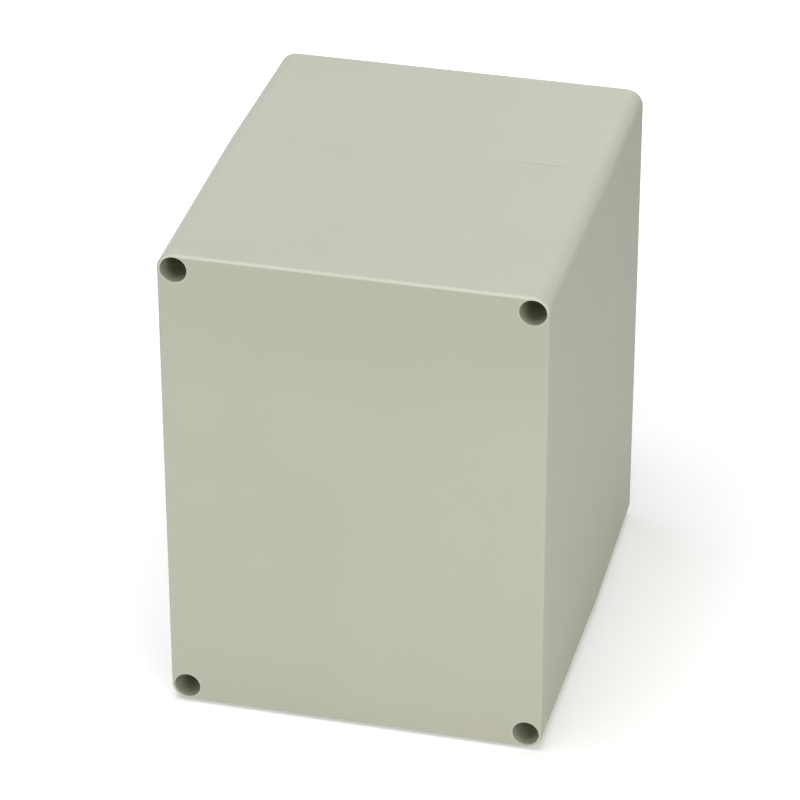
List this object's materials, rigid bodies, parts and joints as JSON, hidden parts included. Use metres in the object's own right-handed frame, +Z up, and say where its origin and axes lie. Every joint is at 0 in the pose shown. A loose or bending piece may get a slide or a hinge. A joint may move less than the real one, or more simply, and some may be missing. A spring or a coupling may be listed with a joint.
{
  "type": "plastic project box",
  "caption": "Closed plastic project box with drafted walls, a tongued joint between its cover and base, and deep screw wells in the corners of the cover.",
  "frame": {"origin": "under the middle of the box, on the surface that it stands on", "axes": "+Z up the box as it stands on a narrow side, -Y out of the cover's face with the screw wells, +X to the right as that face is seen"},
  "size_m": [0.12, 0.14, 0.16],
  "materials": {
    "case_plastic": "satin moulded ABS, pale olive grey",
    "screw_zinc": "bright zinc plate"
  },
  "bodies": {
    "root": {"cover_shell": "case_plastic", "base_shell": "case_plastic", "screw_lower_left": "screw_zinc", "screw_lower_right": "screw_zinc", "screw_upper_left": "screw_zinc", "screw_upper_right": "screw_zinc"}
  },
  "joints": []
}
